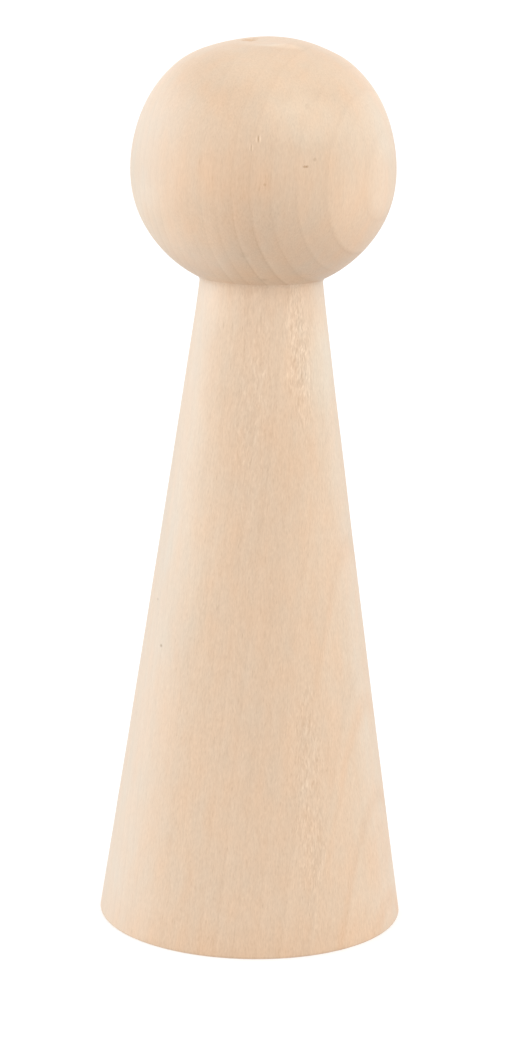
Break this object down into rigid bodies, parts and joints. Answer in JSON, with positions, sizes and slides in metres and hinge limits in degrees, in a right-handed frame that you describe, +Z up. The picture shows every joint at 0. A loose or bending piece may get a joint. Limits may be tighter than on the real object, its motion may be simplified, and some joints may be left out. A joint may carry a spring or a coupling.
{
  "type": "wooden peg doll",
  "caption": "Unpainted peg doll turned from one piece of pale hardwood: a ball head with a slightly flattened crown on a long plain cone, with a flat foot.",
  "frame": {"origin": "middle of the flat foot, on the turning axis", "axes": "+Z up along the turning axis, from the foot to the crown; +X to the right of the pictured side, which faces -Y"},
  "size_m": [0.0346, 0.0346, 0.1],
  "materials": {
    "bare_wood": "bare, finely turned and sanded, unvarnished"
  },
  "bodies": {
    "root": {"doll": "bare_wood"}
  },
  "joints": []
}
